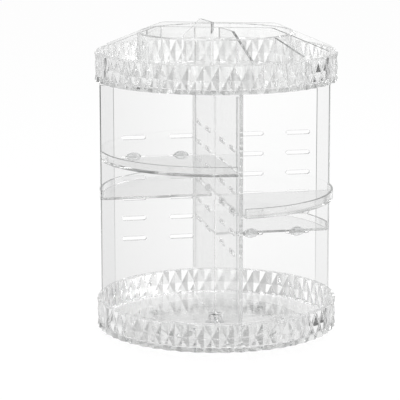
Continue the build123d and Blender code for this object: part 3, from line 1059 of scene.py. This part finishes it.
class ORGANIZER_OT_stage(bpy.types.Operator):
    """Set the pale floor, the studio light and the camera"""

    bl_idname = "organizer.stage"
    bl_label = "Stage"

    # Tones of the studio as (place, tone) stops. A place runs from 0 to 1: from the left to the right, from
    # straight down to straight up, or from behind the camera to ahead of it.
    left_side = (
        (0.0, 0.9), (0.12, 0.9), (0.13, 0.3), (0.165, 0.3), (0.175, 0.85), (0.27, 0.8), (0.33, 0.75),
        (0.39, 1.15), (0.435, 1.05),
    )
    right_side = (
        (0.65, 1.15), (0.7, 1.0), (0.73, 0.8), (0.82, 0.75), (0.83, 0.25), (0.87, 0.25), (0.88, 0.9),
        (1.0, 0.9),
    )
    upward = (
        (0.05, 0.98), (0.24, 0.72), (0.32, 0.75), (0.362, 0.86), (0.392, 0.94), (0.43, 0.995), (0.448, 1.0),
        (0.491, 1.12), (0.535, 0.95), (0.58, 0.74), (0.67, 0.78), (1.0, 1.0),
    )
    behind = ((0.1, 1.25), (0.45, 1.0))
    # The flag is dark where both of these are 0
    flag_beside = ((0.66, 1.0), (0.68, 0.0), (0.83, 0.0), (0.85, 1.0))
    flag_below = ((0.25, 1.0), (0.27, 0.0), (0.38, 0.0), (0.40, 1.0))
    # Name, place and size in metres, and watts of each lamp, and the spot that both look at
    soft_boxes = (
        ("key_softbox", (-0.9, -0.7, 1.1), 0.8, 9.0),
        ("fill_softbox", (1.1, -0.3, 0.9), 0.8, 5.0),
    )
    lit_spot = Vector((0.0, 0.0, 0.1))

    def execute(self, context):
        scene = context.scene
        stage = scene.organizer_stage
        self.add_floor(stage)
        self.add_world(scene, stage)
        self.add_lamps(scene)
        self.add_camera(scene, stage)
        scene.view_settings.view_transform = "Standard"
        for bounces in ("max_bounces", "transmission_bounces", "glossy_bounces", "transparent_max_bounces"):
            setattr(scene.cycles, bounces, BOUNCES)
        return {"FINISHED"}

    def add_floor(self, stage):
        """Flat disc under the object, white to the camera with a share of the object's shadow. Gloss and
        clear plastic see the studio through it, with a share of the shadow of its own."""
        rim = circle_outline(stage.floor_radius, count=96)
        points = np.column_stack([rim, np.zeros(len(rim))])
        floor = new_piece("floor", points, np.empty((0, 4), int), [list(range(len(rim)))])
        material = bpy.data.materials.new("Pale floor")
        material.use_nodes = True
        tree = material.node_tree
        tree.nodes.clear()
        out = node(tree, "ShaderNodeOutputMaterial", (900, 0))
        matt = node(tree, "ShaderNodeBsdfDiffuse", (400, -150), Color=(*stage.floor, 1.0))
        white = node(tree, "ShaderNodeEmission", (400, 50))
        mix = node(tree, "ShaderNodeMixShader", (650, 0))
        path = node(tree, "ShaderNodeLightPath", (-900, 400))
        straight = sums(tree, "MULTIPLY", path.outputs["Is Camera Ray"], 1.0 - stage.shadow)
        tree.links.new(straight, mix.inputs["Fac"])
        tree.links.new(matt.outputs["BSDF"], mix.inputs[1])
        tree.links.new(white.outputs["Emission"], mix.inputs[2])
        clear = node(tree, "ShaderNodeBsdfTransparent", (650, -200))
        last = node(tree, "ShaderNodeMixShader", (800, 0))
        seen = sums(tree, "MAXIMUM", path.outputs["Is Transmission Ray"], path.outputs["Is Glossy Ray"])
        tree.links.new(sums(tree, "MULTIPLY", seen, 1.0 - stage.near_shadow), last.inputs["Fac"])
        tree.links.new(mix.outputs["Shader"], last.inputs[1])
        tree.links.new(clear.outputs["BSDF"], last.inputs[2])
        tree.links.new(last.outputs["Shader"], out.inputs["Surface"])
        floor.data.materials.append(material)

    def add_world(self, scene, stage):
        """White to the camera, and even on matt surfaces. Gloss and clear plastic see a studio that is pale
        ahead of the camera and behind it, greyer at the sides, above and below, with a narrow dark strip at
        each side and a dark flag low on the right."""
        world = bpy.data.worlds.new("Studio")
        scene.world = world
        world.use_nodes = True
        tree = world.node_tree
        tree.nodes.clear()
        out = node(tree, "ShaderNodeOutputWorld", (900, 0))
        sky = node(tree, "ShaderNodeBackground", (650, 0))
        path = node(tree, "ShaderNodeLightPath", (-900, 500))
        spot = node(tree, "ShaderNodeTexCoord", (-900, 0))
        split = node(tree, "ShaderNodeSeparateXYZ", (-700, 0))
        tree.links.new(spot.outputs["Generated"], split.inputs["Vector"])
        across, along, rise = split.outputs["X"], split.outputs["Y"], split.outputs["Z"]
        level = sums(tree, "SQRT", sums(tree, "SUBTRACT", 1.0, sums(tree, "MULTIPLY", rise, rise)))
        ahead = self.share(tree, across, along, level, -sin(stage.azimuth), cos(stage.azimuth))
        right = self.share(tree, across, along, level, cos(stage.azimuth), sin(stage.azimuth))
        height = sums(tree, "MULTIPLY_ADD", rise, 0.5, 0.5)
        middle = ((0.47, stage.dim), (0.502, 1.0), (0.545, 1.0), (0.575, stage.side), (0.61, stage.side))
        round_about = self.ramp(tree, right, (*self.left_side, *middle, *self.right_side))
        studio = sums(tree, "MULTIPLY", round_about, self.ramp(tree, height, self.upward))
        studio = sums(tree, "MULTIPLY", studio, self.ramp(tree, ahead, self.behind))
        beside = self.ramp(tree, ahead, self.flag_beside)
        below = self.ramp(tree, height, self.flag_below)
        other = sums(tree, "LESS_THAN", right, 0.5)
        flag = sums(tree, "MAXIMUM", sums(tree, "MAXIMUM", beside, below), other)
        studio = sums(tree, "MULTIPLY", studio, sums(tree, "MAXIMUM", flag, stage.flag))
        seen = sums(tree, "MAXIMUM", path.outputs["Is Transmission Ray"], path.outputs["Is Glossy Ray"])
        tone = sums(tree, "MAXIMUM", sums(tree, "MULTIPLY", seen, studio), path.outputs["Is Camera Ray"])
        plain = sums(tree, "MULTIPLY", path.outputs["Is Diffuse Ray"], stage.sky)
        tree.links.new(sums(tree, "MAXIMUM", tone, plain), sky.inputs["Strength"])
        sky.inputs["Color"].default_value = (1.0, 1.0, 1.0, 1.0)
        tree.links.new(sky.outputs["Background"], out.inputs["Surface"])

    def share(self, tree, across, along, level, x, y):
        """How far a direction leans, on the level, towards (x, y): 0 straight away from it, 1 towards it."""
        leaning = sums(tree, "ADD", sums(tree, "MULTIPLY", across, x), sums(tree, "MULTIPLY", along, y))
        return sums(tree, "MULTIPLY_ADD", sums(tree, "DIVIDE", leaning, level), 0.5, 0.5)

    def ramp(self, tree, value, stops):
        """Grey value that follows stops of (place, tone)."""
        made = node(tree, "ShaderNodeValToRGB", (-250, 0))
        stripe = made.color_ramp.elements
        while len(stripe) < len(stops):
            stripe.new(0.5)
        for stop, (place, tone) in zip(stripe, stops):
            stop.position = place
            stop.color = (tone, tone, tone, 1.0)
        tree.links.new(value, made.inputs["Fac"])
        return made.outputs["Color"]

    def add_lamps(self, scene):
        """Two soft boxes, left and right above the object."""
        for name, place, size, power in self.soft_boxes:
            lamp = bpy.data.lights.new(name, "AREA")
            lamp.size = size
            lamp.energy = power
            holder = bpy.data.objects.new(name, lamp)
            holder.location = place
            aim = self.lit_spot - Vector(place)
            holder.rotation_euler = aim.to_track_quat("-Z", "Y").to_euler()
            scene.collection.objects.link(holder)

    def add_camera(self, scene, stage):
        """Long lens at the viewing angle, a little above and to the left."""
        lens = bpy.data.cameras.new("camera")
        lens.lens = stage.lens
        lens.sensor_width = SENSOR_WIDTH
        lens.shift_x = stage.shift
        lens.clip_start, lens.clip_end = NEAREST, FARTHEST
        camera = bpy.data.objects.new("camera", lens)
        camera.location = (
            stage.distance * sin(stage.azimuth), -stage.distance * cos(stage.azimuth), stage.camera_height
        )
        camera.rotation_euler = (pi / 2 - stage.pitch, 0.0, stage.azimuth)
        scene.collection.objects.link(camera)
        scene.camera = camera


class ORGANIZER_PT_sidebar(bpy.types.Panel):
    """Buttons for the organizer's pieces"""

    bl_label = "Organizer"
    bl_idname = "ORGANIZER_PT_sidebar"
    bl_space_type = "VIEW_3D"
    bl_region_type = "UI"
    bl_category = "Organizer"

    def draw(self, context):
        for operator in OPERATORS:
            self.layout.operator(operator.bl_idname)


OPERATORS = (
    ORGANIZER_OT_round_trays,
    ORGANIZER_OT_panels,
    ORGANIZER_OT_quarter_trays,
    ORGANIZER_OT_divider,
    ORGANIZER_OT_turntable,
    ORGANIZER_OT_stage,
)
CLASSES = (*SETTINGS.values(), *OPERATORS, ORGANIZER_PT_sidebar)


def register():
    """Adds the classes, and the settings to every scene."""
    for made in CLASSES:
        bpy.utils.register_class(made)
    for name, group in SETTINGS.items():
        setattr(bpy.types.Scene, name, PointerProperty(type=group))


def unregister():
    """Takes the settings and the classes away again."""
    for name in SETTINGS:
        delattr(bpy.types.Scene, name)
    for made in reversed(CLASSES):
        bpy.utils.unregister_class(made)


def main():
    """Builds the object and its stage."""
    register()
    bpy.ops.organizer.round_trays()
    bpy.ops.organizer.panels()
    bpy.ops.organizer.quarter_trays()
    bpy.ops.organizer.divider()
    bpy.ops.organizer.turntable()
    bpy.ops.organizer.stage()


if __name__ == "__main__":
    main()
